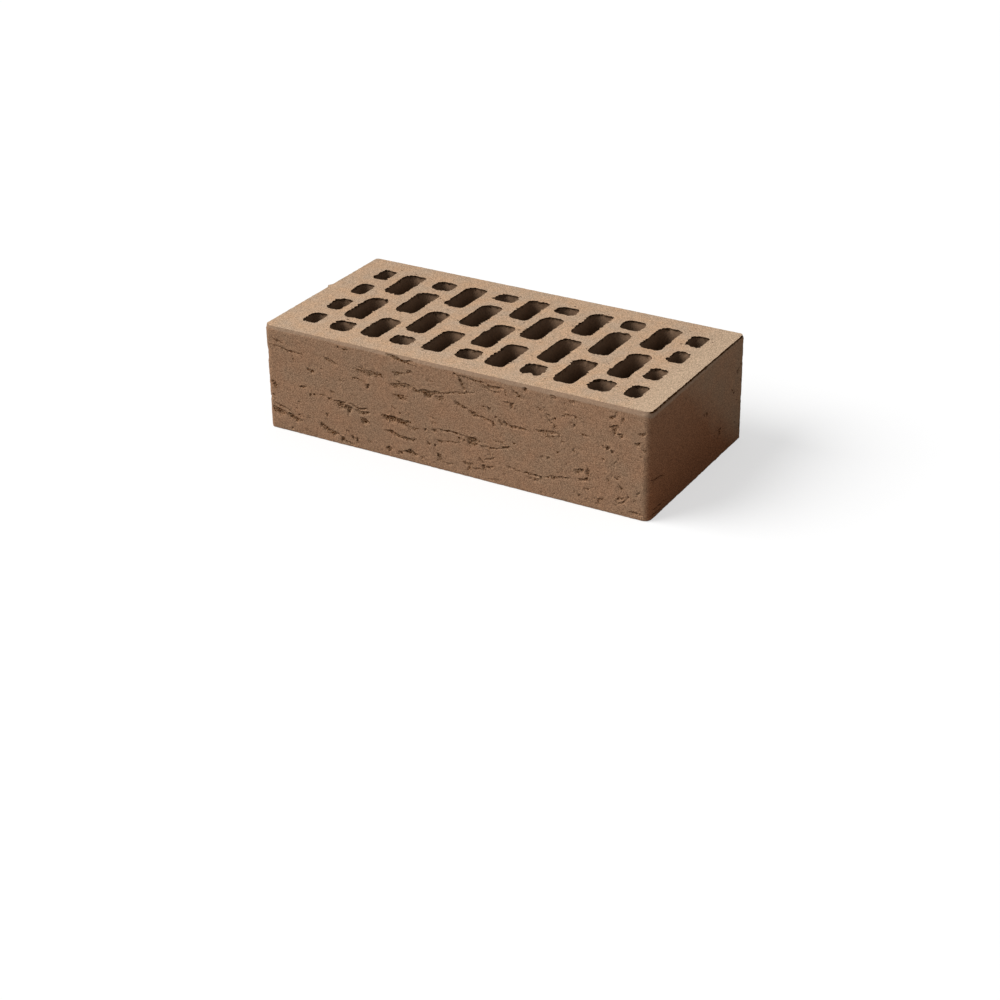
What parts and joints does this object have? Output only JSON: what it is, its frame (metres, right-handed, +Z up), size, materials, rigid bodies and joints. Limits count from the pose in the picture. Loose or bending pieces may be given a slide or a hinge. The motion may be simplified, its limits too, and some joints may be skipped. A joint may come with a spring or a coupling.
{
  "type": "hollow clay facing brick",
  "caption": "Rectangular fired clay brick with upright through holes, wire-cut beds and bark-textured sides, laid in mortar to face a wall.",
  "frame": {"origin": "middle of the lower bed face", "axes": "+X along the brick's length, +Y from the facing side to the back, +Z up along the holes"},
  "size_m": [0.25, 0.12, 0.065],
  "materials": {
    "fired_clay": "matte, torn and sandy"
  },
  "bodies": {
    "root": {"clay_brick": "fired_clay"}
  },
  "joints": []
}
